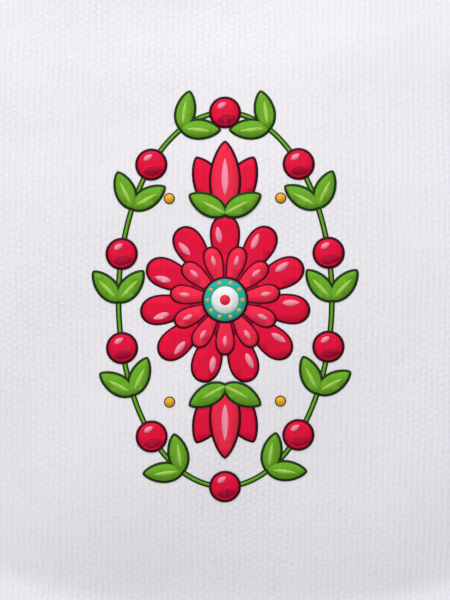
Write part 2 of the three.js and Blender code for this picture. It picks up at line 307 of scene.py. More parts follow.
def puff(x, y):
    """How far the front lies above the back, before the seams press it down."""
    body = BODY_PUFF - BODY_FALL * ((y - BODY_FULLEST_Y) / 100) ** 2
    high = lerp(HEM_PUFF, body, smoothstep(y, *HEM_RISE))
    high = lerp(high, NECK_PUFF, smoothstep(y, *NECK_FALL) * bell(x, NECK_REACH))
    high = lerp(high, SLEEVE_PUFF, smoothstep(abs(x), *SLEEVE_REACH))
    q = y - DIP_LOWEST - DIP_CURVE * (x - DIP_MIDDLE) ** 2
    reach = bell(x - DIP_MIDDLE, DIP_REACH)
    away = math.hypot(q, DIP_ROUNDING) - DIP_ROUNDING
    high -= DIP_DEPTH * reach * math.exp(-away / (DIP_ABOVE if q > 0 else DIP_BELOW))
    high += ROLL_HEIGHT * reach * bell(q + ROLL_BELOW, ROLL_WIDTH)
    for one in FOLDS:
        high += fold(x, y, *one)
    for wave_x, wave_y, phase, height in WAVES:
        high += height * math.sin(2 * math.pi * (x / wave_x + y / wave_y) + phase)
    return max(0.0, high)


def body_cloth(y):
    """Thickness of one layer of the body, doubled where the hem is turned inside."""
    return CLOTH * (2 - smoothstep(y, HEM_DEPTH - HEM_EASE, HEM_DEPTH + HEM_EASE))


def cuff_distance(x, y):
    return distance_to((CUFF_TOP, CUFF_BOTTOM), abs(x), y)


def sleeve_cloth(x, y):
    turned = smoothstep(cuff_distance(x, y), CUFF_HEM_DEPTH - HEM_EASE, CUFF_HEM_DEPTH + HEM_EASE)
    return CLOTH * (2 - turned)


def front_height(x, y, cloth):
    return 2 * cloth + GAP + openness(x, y) * puff(x, y)


def grooves(distance, rows):
    """How far the stitch rows, at these distances from the edge, pull the cloth in."""
    return GROOVE_DEPTH * sum(bell(distance - row, GROOVE_WIDTH) for row in rows)


def pucker(along, distance):
    """The little waves that a seam draws in the cloth beside it."""
    ripple = sum(share * wave(along, length, phase) for share, length, phase in PUCKER_WAVES)
    return PUCKER_HEIGHT * ripple * math.exp(-distance / PUCKER_REACH)


def body_top(x, y):
    """Height of the front cloth's outer face, with its stitch grooves and puckers."""
    z = front_height(x, y, body_cloth(y))
    if y < HEM_ZONE:
        z += pucker(x, abs(y - STITCH_ROWS[1])) * HEM_PUCKERS - grooves(y, STITCH_ROWS)
    side = half_width(y) - abs(x)
    if side < SIDE_ZONE:
        z += pucker(y + SIDE_SHIFT * (x > 0), side) * min(1, side / FOLD_EASE)
    return z


def sleeve_place(share):
    """Ends of the sleeve's line, at the armhole and the cuff, for a share of the way to the underarm."""
    y = lerp(UNDERARM_Y, SHOULDER_Y, (1 - share) ** ARMHOLE_POWER)
    return Vector((half_width(y) + SEAM_GAP, y)), Vector(CUFF_TOP).lerp(Vector(CUFF_BOTTOM), share)


def across_sleeve(x, y):
    """Distance from the shoulder's fold down across the sleeve."""
    return (SHOULDER_Y - y) * math.cos(SLEEVE_SLOPE) - (x - SHOULDER_HALF) * math.sin(SLEEVE_SLOPE)


def sleeve_top(side, x, y, along, to_cuff):
    """Height of the upper sleeve's outer face, at distances from the armhole and from the cuff."""
    z = front_height(side * x, y, sleeve_cloth(x, y))
    edge = distance_to(UPPER_SEAM[1:], x, y)
    edge = min(edge, distance_to(LOWER_SEAM[1:], x, y))
    z += pucker(y, along) * min(1, along / ARMHOLE_EASE, edge / FOLD_EASE)
    cuff_pucker = pucker(across_sleeve(x, y), abs(to_cuff - CUFF_STITCH_ROWS[1]))
    z += cuff_pucker * CUFF_PUCKERS * min(1, edge / CUFF_EASE)
    if to_cuff < CUFF_HEM_DEPTH + PAST_HEM:
        z -= grooves(to_cuff, CUFF_STITCH_ROWS)
    return z


def turned_hem(depth):
    """Distance from the hem's edge and drop below the outer face, from the raw edge round the turn."""
    path = [(d, 2 * TURN_RADIUS) for d in spread(depth - HEM_EASE, TURN_RADIUS, 7)]
    for angle in spread(-75, 90, 9):
        a = math.radians(angle)
        path.append((TURN_RADIUS * (1 - math.cos(a)), TURN_RADIUS * (1 - math.sin(a))))
    return path


def eased(limit, step, fine=(0.35, 0.9, 1.7, 3.0)):
    """Distances from an edge, close together beside it and step apart further in."""
    count = max(1, round((limit - fine[-1]) / step))
    return [0.0, *fine, *spread(fine[-1], limit, count)[1:]]


def cloth_grid(columns, rows, place):
    """A sheet of cloth: place(i, j) gives a corner of the grid its point and its place in the knit."""
    bm = bmesh.new()
    bmesh.ops.create_grid(bm, x_segments=columns, y_segments=rows, size=1.0)
    knit = bm.loops.layers.uv.new("knit")
    for vert in bm.verts:
        i = round((vert.co.x + 1) / 2 * columns)
        j = round((vert.co.y + 1) / 2 * rows)
        vert.co, (u, v) = place(i, j)
        for loop in vert.link_loops:
            loop[knit].uv = (u / 1000, v / 1000)
    return bm


def smooth_inside(bm, outside, passes):
    """Smooths the inner skin, all but the rims that join it to the outer one."""
    inside = [
        vert
        for vert in bm.verts
        if vert not in outside and not any(edge.other_vert(vert) in outside for edge in vert.link_edges)
    ]
    axes = {"use_axis_x": True, "use_axis_y": True, "use_axis_z": True}
    for _ in range(passes):
        bmesh.ops.smooth_vert(bm, verts=inside, factor=0.5, **axes)


def thicken(bm, thickness, rounding=0.0, passes=10):
    """Gives a sheet its thickness on the inside, smooths its inner skin and can round its cut edges."""
    outside = set(bm.verts)
    bmesh.ops.solidify(bm, geom=bm.faces[:], thickness=thickness)
    smooth_inside(bm, outside, passes)
    if rounding:
        bm.normal_update()
        rim = [
            edge
            for edge in bm.edges
            if edge.calc_face_angle(0.0) > math.radians(60) and edge.calc_length() > rounding
        ]
        bmesh.ops.bevel(bm, geom=rim, offset=rounding, segments=2, profile=0.5, affect="EDGES", material=-1)


def new_piece(bm, name, material):
    """Makes the bmesh an object of the scene that rides on the shirt."""
    mesh = bpy.data.meshes.new(name)
    bm.to_mesh(mesh)
    bm.free()
    mesh.shade_smooth()
    mesh.materials.append(material)
    piece = bpy.data.objects.new(name, mesh)
    bpy.context.scene.collection.objects.link(piece)
    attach(piece, "root")
    return piece


def linear(colour):
    """Linear light of a display colour with parts from 0 to 1."""
    return [c / 12.92 if c <= 0.04045 else ((c + 0.055) / 1.055) ** 2.4 for c in colour]


class Nodes:
    """Shorthand for building a material's nodes."""

    def __init__(self, name):
        self.material = bpy.data.materials.new(name)
        self.material.use_nodes = True
        self.tree = self.material.node_tree
        self.tree.nodes.clear()
        self.output = self.tree.nodes.new("ShaderNodeOutputMaterial")
        self.shader = self.tree.nodes.new("ShaderNodeBsdfPrincipled")
        self.link(self.shader.outputs["BSDF"], self.output.inputs["Surface"])

    def link(self, source, target):
        self.tree.links.new(source, target)

    def put(self, target, value):
        if isinstance(value, bpy.types.NodeSocket):
            self.link(value, target)
        else:
            target.default_value = value

    def math(self, operation, a, b=0.0):
        node = self.tree.nodes.new("ShaderNodeMath")
        node.operation = operation
        for target, value in zip(node.inputs, (a, b)):
            self.put(target, value)
        return node.outputs[0]

    def add(self, a, b):
        return self.math("ADD", a, b)

    def multiply(self, a, b):
        return self.math("MULTIPLY", a, b)

    def look(self, values):
        """Sets or links inputs of the surface by their names."""
        for key, value in values.items():
            self.put(self.shader.inputs[key], value)

    def knit_places(self):
        """The cloth's own coordinates across and along the ribs, in metres."""
        uv = self.tree.nodes.new("ShaderNodeUVMap")
        uv.uv_map = "knit"
        split = self.tree.nodes.new("ShaderNodeSeparateXYZ")
        self.link(uv.outputs["UV"], split.inputs[0])
        return uv.outputs["UV"], split.outputs["X"], split.outputs["Y"]

    def noise(self, vector, scale, detail=2.0, roughness=0.5):
        node = self.tree.nodes.new("ShaderNodeTexNoise")
        self.put(node.inputs["Vector"], vector)
        node.inputs["Scale"].default_value = scale
        node.inputs["Detail"].default_value = detail
        node.inputs["Roughness"].default_value = roughness
        return node.outputs[0]

    def swing(self, vector, scale, amount):
        """Noise round zero, most of it within a quarter of the amount."""
        return self.multiply(self.add(self.noise(vector, scale), -0.5), amount)

    def ramp(self, value, low, high, from_low=0.0, from_high=1.0):
        node = self.tree.nodes.new("ShaderNodeMapRange")
        for key, part in (("Value", value), ("From Min", from_low), ("From Max", from_high)):
            self.put(node.inputs[key], part)
        node.inputs["To Min"].default_value = low
        node.inputs["To Max"].default_value = high
        return node.outputs[0]

    def tint(self, colour, factor):
        """The colour made darker or lighter by a factor that varies over the surface."""
        node = self.tree.nodes.new("ShaderNodeVectorMath")
        node.operation = "SCALE"
        node.inputs[0].default_value = linear(colour)
        self.put(node.inputs["Scale"], factor)
        return node.outputs[0]

    def bump(self, height, distance):
        node = self.tree.nodes.new("ShaderNodeBump")
        node.inputs["Distance"].default_value = distance
        self.put(node.inputs["Height"], height)
        self.look({"Normal": node.outputs[0]})


def rib_knit_height(nodes, pitch):
    """Height of the fine rib knit, about -1 to 1: wavering ribs, uneven loops along them, and fuzz."""
    place, across, along = nodes.knit_places()
    across = nodes.add(across, nodes.swing(place, 60.0, 0.0018))
    across = nodes.add(across, nodes.swing(place, 380.0, 0.0008))
    along = nodes.add(along, nodes.swing(place, 300.0, 0.0018))
    turn = 2 * math.pi / pitch
    ribs = nodes.math("COSINE", nodes.multiply(across, turn))
    ribs = nodes.multiply(ribs, nodes.ramp(nodes.noise(place, 160.0), 0.15, 0.7, 0.3, 0.7))
    half = nodes.math("COSINE", nodes.multiply(across, turn / 2))
    rise = nodes.math("COSINE", nodes.multiply(along, turn * math.sqrt(3) / 2))
    loops = nodes.multiply(half, rise)
    loops = nodes.multiply(loops, nodes.ramp(nodes.noise(place, 14.0), 0.08, 0.36, 0.35, 0.62))
    loops = nodes.multiply(loops, nodes.ramp(nodes.noise(place, 520.0), 0.1, 1.7, 0.32, 0.68))
    fuzz = nodes.add(nodes.swing(place, 700.0, 1.3), nodes.swing(place, 2400.0, 0.25))
    return place, nodes.add(nodes.add(ribs, loops), fuzz)


def knitted_cotton(name, colour, pitch, relief):
    nodes = Nodes(name)
    place, height = rib_knit_height(nodes, pitch)
    # Painted shade: the base colour is darkened in the knit's low parts, the pits between its loops.
    painted_knit_shading = nodes.ramp(height, 0.93, 1.0, -0.9, 0.1)
    patch = nodes.ramp(nodes.noise(place, 45.0, 3.0), 0.985, 1.012, 0.3, 0.7)
    nodes.look({
        "Base Color": nodes.tint(colour, nodes.multiply(painted_knit_shading, patch)),
        "Roughness": nodes.ramp(height, 0.98, 0.86, -1.0, 1.0),
        "Sheen Weight": 0.25,
        "Sheen Roughness": 0.6,
        "Specular IOR Level": 0.2,
    })
    nodes.bump(height, relief)
    return nodes.material


def body_cotton(scene, name):
    """The cotton of the panels and the sleeves, and the thickness of their cloth."""
    sizes = scene.shirt_sizes
    cotton = knitted_cotton(name, scene.shirt_colours.cotton, sizes.rib_pitch, sizes.knit_relief)
    return cotton, sizes.cloth


def collar_cotton(name, colour):
    """The collar's ribs are in its mesh, so only its loops and fuzz are here."""
    nodes = Nodes(name)
    place, _, along = nodes.knit_places()
    loops = nodes.math("SINE", nodes.multiply(along, 2 * math.pi / 0.0012))
    fuzz = nodes.add(nodes.noise(place, 2600.0, 3.0, 0.65), -0.5)
    height = nodes.add(nodes.multiply(loops, 0.4), fuzz)
    nodes.look({
        "Base Color": nodes.tint(colour, nodes.ramp(nodes.noise(place, 60.0, 3.0), 0.975, 1.01, 0.3, 0.7)),
        "Roughness": nodes.ramp(height, 0.97, 0.86, -1.0, 1.0),
        "Sheen Weight": 0.25,
        "Specular IOR Level": 0.2,
    })
    nodes.bump(height, 0.00006)
    return nodes.material


def woven_tape(name, colour):
    nodes = Nodes(name)
    place, across, along = nodes.knit_places()
    slant = nodes.add(across, nodes.math("PINGPONG", along, 0.0015))
    twill = nodes.math("SINE", nodes.multiply(slant, 2 * math.pi / 0.0009))
    fuzz = nodes.add(nodes.noise(place, 2200.0), -0.5)
    height = nodes.add(nodes.multiply(twill, 0.5), fuzz)
    nodes.look({
        # Painted shade: the base colour is darker in the twill's grooves.
        "Base Color": nodes.tint(colour, nodes.ramp(twill, 0.94, 1.0, -1.0, 1.0)),
        "Roughness": nodes.ramp(height, 0.9, 0.8, -1.0, 1.0),
    })
    nodes.bump(height, 0.00008)
    return nodes.material


def sewing_thread(name, colour):
    nodes = Nodes(name)
    coordinates = nodes.tree.nodes.new("ShaderNodeTexCoord").outputs["Object"]
    twist = nodes.noise(coordinates, 5200.0, 1.0)
    nodes.look({
        "Base Color": nodes.tint(colour, nodes.ramp(twist, 0.93, 1.03)),
        "Roughness": 0.5,
        "Sheen Weight": 0.2,
    })
    nodes.bump(twist, 0.00005)
    return nodes.material


def printed_ink(name, colour, pitch, relief):
    """Ink on the knit: it follows the ribs, with painted shade in their grooves and painted light on their
    crests.
    """
    nodes = Nodes(name)
    place, height = rib_knit_height(nodes, pitch)
    # Painted shade and light: the ink's colour is darker in the knit's grooves and lighter on its crests.
    painted_knit_shading = nodes.ramp(height, 0.95, 1.03, -1.0, 1.0)
    mottle = nodes.ramp(nodes.noise(place, 900.0, 3.0, 0.6), 0.96, 1.04, 0.3, 0.7)
    nodes.look({
        "Base Color": nodes.tint(colour, nodes.multiply(painted_knit_shading, mottle)),
        "Roughness": nodes.ramp(height, 0.74, 0.6, -1.0, 1.0),
        "Specular IOR Level": 0.12,
    })
    nodes.bump(height, relief)
    return nodes.material


def plain_floor(name, colour):
    nodes = Nodes(name)
    nodes.look({"Base Color": (*linear(colour), 1.0), "Roughness": 0.85})
    return nodes.material


def columns_to_edge():
    """The panels' columns, from -1 to 1, close together beside the seams."""
    shares = [1 - d / CHEST_HALF for d in eased(CHEST_HALF, 2.2)]
    return [-s for s in shares[:-1]] + [0.0] + shares[-2::-1]


def column_top(c):
    """Distance from the middle, at a panel's top, of its column c."""
    a = abs(c)
    if a <= NECK_SHARE:
        return math.copysign(NECK_HALF * math.sin(math.pi / 2 * a / NECK_SHARE), c)
    return math.copysign(lerp(NECK_HALF, SHOULDER_HALF, (a - NECK_SHARE) / (1 - NECK_SHARE)), c)


def on_panel(c, row, neck_drop):
    """Place in the cut of column c at a row, which is the height at the side."""
    top_x = column_top(c)
    top_y = top_edge(top_x, neck_drop)
    y = row
    if row > UNDERARM_Y:
        y = lerp(UNDERARM_Y, top_y, (row - UNDERARM_Y) / (SHOULDER_Y - UNDERARM_Y))
    return top_x * half_width(y) / half_width(top_y), y


def panel_rows(step, hem_step):
    """Heights of a panel's rows at its side, from the hem's turn to the shoulder."""
    start = HEM_DEPTH + PAST_HEM
    side = spread(start, UNDERARM_Y, round((UNDERARM_Y - start) / step))
    count = round(ARMHOLE_ROWS * (SHOULDER_Y - UNDERARM_Y) / step)
    armhole = [lerp(UNDERARM_Y, SHOULDER_Y, (i / count) ** ARMHOLE_POWER) for i in range(1, count - 1)]
    armhole = [y for y in armhole if y < SHOULDER_Y - TOP_ZONE]
    top = [SHOULDER_Y - d for d in TOP_ROWS]
    hem = spread(TURN_RADIUS + hem_step, start, round((start - TURN_RADIUS) / hem_step))
    return [*hem[:-1], *side, *armhole, *top]


def make_panel(name, node, front, step, hem_step, material, thickness):
    """The front or the back, a sheet with its hem turned inside. The back has fewer columns."""
    neck_drop = FRONT_NECK_DROP if front else BACK_NECK_DROP
    hem = turned_hem(HEM_DEPTH)
    path = hem + [(y, 0.0) for y in panel_rows(step, hem_step)]
    columns = columns_to_edge()
    if not front:
        outer = columns[:len(columns) // 2:BACK_COLUMNS]
        columns = [*outer, 0.0, *(-c for c in reversed(outer))]

    def place(i, j):
        y, drop = path[j]
        x, y = on_panel(columns[i], y, neck_drop)
        z = body_top(x, y) - drop if front else drop
        cloth_y = -y if j < len(hem) - OUTER_TURN else y
        return to_row(x, y, z), (x, cloth_y)

    bm = cloth_grid(len(columns) - 1, len(path) - 1, place)
    if not front:
        bmesh.ops.reverse_faces(bm, faces=bm.faces[:])
    thicken(bm, thickness)
    piece = new_piece(bm, name, material)
    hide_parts(node)
    return piece


def make_sleeve(name, node, side, material, thickness):
    """A flat tube of cloth, with a fold along the shoulder and the underarm and its cuff turned inside."""
    upper = [("upper", s) for s in spread(0.012, 0.988, 52)]
    lower = [("lower", s) for s in spread(0.98, 0.02, 24)]
    under_fold = [("underarm", a) for a in spread(75, -75, 6)]
    over_fold = [("shoulder", a) for a in spread(-75, 75, 6)]
    stations = [*upper, *under_fold, *lower, *over_fold]
    path = [("share", d / 100) for d in eased(100, 2.4) if d < 100 * SHARED_ROWS]
    path += [("edge", d) for d in CUFF_STEPS]
    path += [("turn", part) for part in turned_hem(CUFF_HEM_DEPTH)[::-1]]

    def place(i, j):
        kind, value = stations[i % len(stations)]
        arm, cuff = sleeve_place(value if kind in ("upper", "lower") else float(kind == "underarm"))
        length = (cuff - arm).length
        what, part = path[j]
        drop = part[1] if what == "turn" else 0.0
        if what == "share":
            along = part * (length - CUFF_ZONE) / SHARED_ROWS
        else:
            along = length - (part[0] if what == "turn" else part)
        x, y = arm + (cuff - arm) * (along / length)
        cloth = sleeve_cloth(x, y)
        u = across_sleeve(x, y)
        if kind == "upper":
            z = sleeve_top(side, x, y, along, length - along) - drop
        elif kind == "lower":
            z = drop
            u = -u
        else:
            radius = cloth + GAP / 2 - drop
            a = math.radians(value)
            z = cloth + GAP / 2 + radius * math.sin(a)
            out = FOLD_BULGE * radius * math.cos(a)
            shoulder_out = (math.sin(SLEEVE_SLOPE), math.cos(SLEEVE_SLOPE))
            normal = shoulder_out if kind == "shoulder" else UNDERARM_OUT
            x, y = x + out * normal[0], y + out * normal[1]
            if a < 0:
                u = -u
        point = to_row(side * x, y, z)
        return point, (side * u, along if what != "turn" or part[1] < TURN_RADIUS else 2 * length - along)

    bm = cloth_grid(len(stations), len(path) - 1, place)
    bmesh.ops.remove_doubles(bm, verts=bm.verts[:], dist=1e-6)
    if side < 0:
        bmesh.ops.reverse_faces(bm, faces=bm.faces[:])
    thicken(bm, thickness)
    piece = new_piece(bm, name, material)
    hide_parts(node)
    return piece


def blunt_sine(sine):
    """Size of a sine, from 0 to 1, rounded off at 0."""
    return sine ** 2 / math.hypot(sine, COLLAR_BLUNTNESS)


def collar_middle(angle, across):
    """Middle of the collar's doubled band, in millimetres: across is 0 at the seam and 1 at the fold."""
    front = math.sin(angle) >= 0
    sine = blunt_sine(math.sin(angle))
    cosine = math.cos(angle)
    drop = FRONT_NECK_DROP if front else BACK_NECK_DROP
    free_drop = COLLAR_FRONT_DROP if front else COLLAR_BACK_DROP
    seam = ((NECK_HALF - SEAM_GAP) * cosine, BODY_LENGTH + (SEAM_GAP - drop) * sine)
    free = (COLLAR_FREE_HALF * cosine, BODY_LENGTH + COLLAR_RISE - free_drop * sine)
    lift = smoothstep(sine, *COLLAR_LIFT)
    cloth = body_cloth(seam[1])
    panel_middle = front_height(seam[0], seam[1], cloth) - cloth / 2
    high = lerp(COLLAR_FOLD_Z, panel_middle, lift)
    below_fold = lerp(drop - SEAM_GAP, free_drop, across) * sine
    bend = min(below_fold / COLLAR_FOLD_RADIUS, 1)
    turn = math.sqrt(bend * (2 - bend))
    layer = high - across * lift * COLLAR_FALL if front else COLLAR_THICKNESS / 2
    z = lerp(COLLAR_FOLD_Z - COLLAR_FOLD_RADIUS, layer, turn)
    return Vector((lerp(seam[0], free[0], across), lerp(seam[1], free[1], across), z))


def collar_normal(angle, across):
    """Direction out of the collar's outer face."""
    ahead = collar_middle(angle + TANGENT_STEP, across) - collar_middle(angle - TANGENT_STEP, across)
    inward = collar_middle(angle, 1) - collar_middle(angle, 0)
    return ahead.cross(inward).normalized()


def even_angles(count, fine, point_at):
    """Angles that share a closed curve's length evenly, measured in fine steps, and that length."""
    lengths = [0.0]
    last = point_at(0)
    for i in range(1, fine + 1):
        point = point_at(2 * math.pi * i / fine)
        lengths.append(lengths[-1] + (point - last).length)
        last = point
    angles = []
    k = 0
    for i in range(count):
        wanted = lengths[-1] * i / count
        while lengths[k + 1] < wanted:
            k += 1
        step = (wanted - lengths[k]) / (lengths[k + 1] - lengths[k])
        angles.append(2 * math.pi * (k + step) / fine)
    return angles, lengths[-1]


def make_collar(name, material, ribs, thickness):
    """A ring of rib knit, doubled: the cloth runs up the outside, over the fold and down the inside."""
    count = ribs * RIB_SEGMENTS
    angles, length = even_angles(count, 2880, lambda angle: collar_middle(angle, 0.5))
    radius = COLLAR_THICKNESS / 2
    path = [(across, 0) for across in (*COLLAR_EDGE, *spread(0.15, 0.95, 6))]
    path += [(0.95, turn) for turn in (45, 90, 135)]
    path += [(across, 180) for across in (*spread(0.95, 0.15, 4), *COLLAR_EDGE[::-1])]

    def place(i, j):
        angle = angles[i % count]
        across, turn = path[j]
        middle = collar_middle(angle, across)
        normal = collar_normal(angle, across)
        outward = (collar_middle(angle, 1) - collar_middle(angle, 0)).normalized()
        reach = radius + RIB_HEIGHT * math.cos(2 * math.pi * i / RIB_SEGMENTS) - RIB_SINK
        a = math.radians(turn)
        point = middle + normal * (reach * math.cos(a)) + outward * (reach * math.sin(a) * FOLD_FULLNESS)
        run = COLLAR_WIDTH * (across if turn < 90 else 2 - across)
        return to_row(*point), (length * i / count, run)

    bm = cloth_grid(count, len(path) - 1, place)
    bmesh.ops.remove_doubles(bm, verts=bm.verts[:], dist=1e-6)
    thicken(bm, thickness, passes=4)
    piece = new_piece(bm, name, material)
    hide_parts("collar")
    return piece


def make_neck_tape(name, material, thickness):
    """The strip over the back neck seam, a little crowned across its width."""
    columns, rows = 48, 8

    def place(i, j):
        x = lerp(-TAPE_HALF, TAPE_HALF, i / columns)
        y = top_edge(x, BACK_NECK_DROP) - TAPE_BELOW_SEAM - TAPE_WIDTH * (1 - j / rows)
        crown = TAPE_CROWN * math.sin(math.pi * j / rows)
        z = CLOTH + GAP + TAPE_THICKNESS - TAPE_SINK + crown
        return to_row(x, y, z), (x, TAPE_WIDTH * j / rows)

    bm = cloth_grid(columns, rows, place)
    thicken(bm, thickness, TAPE_ROUNDING)
    piece = new_piece(bm, name, material)
    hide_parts("neck_tape")
    return piece


def stitch_line(bm, points, length, pitch, width):
    """Short stitches of thread along a line of frame points, half sunk in the cloth."""
    lying = Matrix.Rotation(math.pi / 2, 4, "Y") @ Matrix.Diagonal((width / 2, width / 2, length / 2, 1.0))
    travelled = 0.0
    due = pitch / 2
    for a, b in zip(points, points[1:]):
        step = (b - a).length
        while step > 0 and travelled + step >= due:
            spot = a.lerp(b, (due - travelled) / step)
            turn = (b - a).normalized().to_track_quat("X", "Z").to_matrix().to_4x4()
            place = Matrix.Translation(spot) @ turn @ lying
            bmesh.ops.create_uvsphere(bm, u_segments=6, v_segments=5, radius=1.0, matrix=place)
            due += pitch
        travelled += step


def hem_stitch_points(row):
    half = half_width(row) - STITCH_END
    return [to_row(x, row, body_top(x, row)) for x in spread(-half, half, 240)]


def cuff_stitch_points(side, row):
    points = []
    for share in spread(0.05, 0.95, 90):
        arm, cuff = sleeve_place(share)
        x, y = cuff + (arm - cuff).normalized() * row
        points.append(to_row(side * x, y, sleeve_top(side, x, y, (cuff - arm).length - row, row)))
    return points


def neckline_stitch_points():
    points = []
    for angle in spread(0.2, math.pi - 0.2, 160):
        seam = Vector((NECK_HALF * math.cos(angle), -FRONT_NECK_DROP * math.sin(angle)))
        normal = Vector((math.cos(angle) / NECK_HALF, -math.sin(angle) / FRONT_NECK_DROP)).normalized()
        x, y = seam + normal * NECK_STITCH_OFFSET
        y += BODY_LENGTH
        points.append(to_row(x, y, body_top(x, y)))
    return points


def tape_stitch_points(row):
    points = []
    for x in spread(-TAPE_HALF + 1, TAPE_HALF - 1, 60):
        y = top_edge(x, BACK_NECK_DROP) - TAPE_BELOW_SEAM - row
        points.append(to_row(x, y, CLOTH + GAP + TAPE_THICKNESS + 0.02))
    return points


def add_outline(bm, segments, shape, centre, angle, grow=0.0):
    """Adds a flat filled motif: a circle whose corners are moved by shape, then turned and put in place."""
    made = bmesh.ops.create_circle(bm, cap_ends=True, segments=segments, radius=1.0)["verts"]
    a = math.radians(angle)
    for vert in made:
        x, y = shape(vert.co.x, vert.co.y, grow)
        vert.co = (
            centre[0] + x * math.cos(a) - y * math.sin(a),
            centre[1] + x * math.sin(a) + y * math.cos(a),
            0.0,
        )


def leaf_shape(length, half):
    """A leaf from its foot at 0 to its tip, pointed at both ends and fuller near the foot."""
    def shape(c, s, grow):
        t = (c + 1) / 2
        full = half * math.copysign(abs(s) ** 1.5, s) * (1.15 - 0.3 * t)
        return t * (length + 2 * grow) - grow, full + grow * s
    return shape


def petal_shape(inner, outer, half):
    """A petal that widens from its foot to a round end, measured from the flower's middle."""
    def shape(c, s, grow):
        t = (c + 1) / 2
        swell = 0.42 + 0.95 * t * t * (1.35 - 0.65 * t)
        return lerp(inner - grow, outer + grow, t), (half + grow) * s * swell
    return shape


def around(radius, angle):
    """A place round 0, at a radius and an angle in degrees."""
    a = math.radians(angle)
    return radius * math.cos(a), radius * math.sin(a)


def disc_shape(radius):
    def shape(c, s, grow):
        return c * (radius + grow), s * (radius + grow)
    return shape


def place_on_cloth(bm, lift, cell):
    """Cuts flat motifs into cells, lays them on the front and gives the film its thickness."""
    for axis in (0, 1):
        values = [vert.co[axis] for vert in bm.verts]
        low, high = min(values), max(values)
        steps = max(1, round((high - low) / cell))
        for at in spread(low, high, steps)[1:-1]:
            normal = Vector((axis == 0, axis == 1, 0))
            geom = bm.verts[:] + bm.edges[:] + bm.faces[:]
            bmesh.ops.bisect_plane(bm, geom=geom, dist=1e-4, plane_co=normal * at, plane_no=normal)
    bmesh.ops.triangulate(bm, faces=[face for face in bm.faces if len(face.verts) > 4])
    knit = bm.loops.layers.uv.new("knit")
    for vert in bm.verts:
        x, y = vert.co.x, vert.co.y + PRINT_MIDDLE_Y
        layer = vert.co.z
        vert.co = to_row(x, y, body_top(x, y) + lift + layer)
        for loop in vert.link_loops:
            loop[knit].uv = (x / 1000, y / 1000)
    bmesh.ops.solidify(bm, geom=bm.faces[:], thickness=INK_THICKNESS)


def length_property(name, description, default):
    return FloatProperty(name=name, description=description, default=default, unit="LENGTH", precision=5)


class ShirtSizes(bpy.types.PropertyGroup):
    """Sizes of the shirt's cloth and sewing."""

    cloth: length_property("Cloth", "Thickness of one layer", 0.00092)
    rib_pitch: length_property("Rib pitch", "Distance between the knit's ribs", 0.00195)
    knit_relief: length_property("Knit relief", "Height of the knit's ribs", 0.00009)
    collar_ribs: IntProperty(
        name="Collar ribs", description="Number of ribs round the collar", default=168, min=40, max=400
    )
    stitch_length: length_property("Stitch", "Length of one stitch", 0.0024)
    stitch_pitch: length_property("Stitch pitch", "Distance from stitch to stitch", 0.003)
    thread: length_property("Thread", "Thickness of the thread", 0.00042)


def colour_property(name, description, default):
    return FloatVectorProperty(
        name=name, description=description, default=default, subtype="COLOR_GAMMA", size=3, min=0, max=1
    )


class ShirtColours(bpy.types.PropertyGroup):
    """Colours of the shirt and its print, as they are seen."""

    cotton: colour_property("Cotton", "Body and sleeves", (0.965, 0.956, 0.972))
    collar: colour_property("Collar", "Rib knit of the collar", (0.96, 0.951, 0.967))
    tape: colour_property("Tape", "Neck tape", (0.93, 0.925, 0.94))
    thread: colour_property("Thread", "Sewing thread", (0.95, 0.95, 0.955))
    outline: colour_property("Outline", "Dark lines of the print", (0.27, 0.01, 0.1))
    crimson: colour_property("Crimson", "Large petals and buds", (0.93, 0.05, 0.24))
    red: colour_property("Red", "Small petals", (0.98, 0.16, 0.3))
    dark_crimson: colour_property("Dark crimson", "Shaded parts of the petals", (0.69, 0.0, 0.2))
    pink: colour_property("Pink", "Light touches", (1.0, 0.6, 0.7))
    green: colour_property("Green", "Leaves", (0.43, 0.69, 0.15))
    light_green: colour_property("Light green", "Leaf ribs", (0.66, 0.85, 0.35))
    dark_green: colour_property("Dark green", "Stems and leaf outlines", (0.12, 0.24, 0.07))
    teal: colour_property("Teal", "Ring of the flower", (0.13, 0.72, 0.66))
    white: colour_property("White", "Middle of the flower", (0.97, 0.97, 0.97))
    yellow: colour_property("Yellow", "Stamens", (0.98, 0.72, 0.18))


class SHIRT_OT_front_panel(bpy.types.Operator):
    """Makes the front of knitted cloth, with its hem turned inside"""

    bl_idname = "shirt.front_panel"
    bl_label = "Front"

    def execute(self, context):
        material, cloth = body_cotton(context.scene, "knitted_cotton")
        make_panel("front_cloth", "front_panel", True, 2.3, 0.7, material, cloth)
        return {"FINISHED"}


class SHIRT_OT_back_panel(bpy.types.Operator):
    """Makes the back, which lies flat under the front"""

    bl_idname = "shirt.back_panel"
    bl_label = "Back"

    def execute(self, context):
        material, cloth = body_cotton(context.scene, "knitted_cotton_back")
        make_panel("back_cloth", "back_panel", False, 6.0, 2.5, material, cloth)
        return {"FINISHED"}


class SHIRT_OT_sleeves(bpy.types.Operator):
    """Makes both sleeves"""

    bl_idname = "shirt.sleeves"
    bl_label = "Sleeves"

    def execute(self, context):
        material, cloth = body_cotton(context.scene, "knitted_cotton_sleeves")
        make_sleeve("sleeve_right_cloth", "sleeve_right", 1, material, cloth)
        make_sleeve("sleeve_left_cloth", "sleeve_left", -1, material, cloth)
        return {"FINISHED"}


class SHIRT_OT_collar(bpy.types.Operator):
    """Makes the doubled rib collar"""

    bl_idname = "shirt.collar"
    bl_label = "Collar"

    def execute(self, context):
        sizes, colours = context.scene.shirt_sizes, context.scene.shirt_colours
        material = collar_cotton("collar_cotton", colours.collar)
        make_collar("collar_ribbing", material, sizes.collar_ribs, COLLAR_CLOTH)
        return {"FINISHED"}


class SHIRT_OT_neck_tape(bpy.types.Operator):
    """Makes the tape over the back neck seam"""

    bl_idname = "shirt.neck_tape"
    bl_label = "Neck tape"

    def execute(self, context):
        material = woven_tape("woven_tape", context.scene.shirt_colours.tape)
        make_neck_tape("neck_tape_weave", material, TAPE_CLOTH)
        return {"FINISHED"}


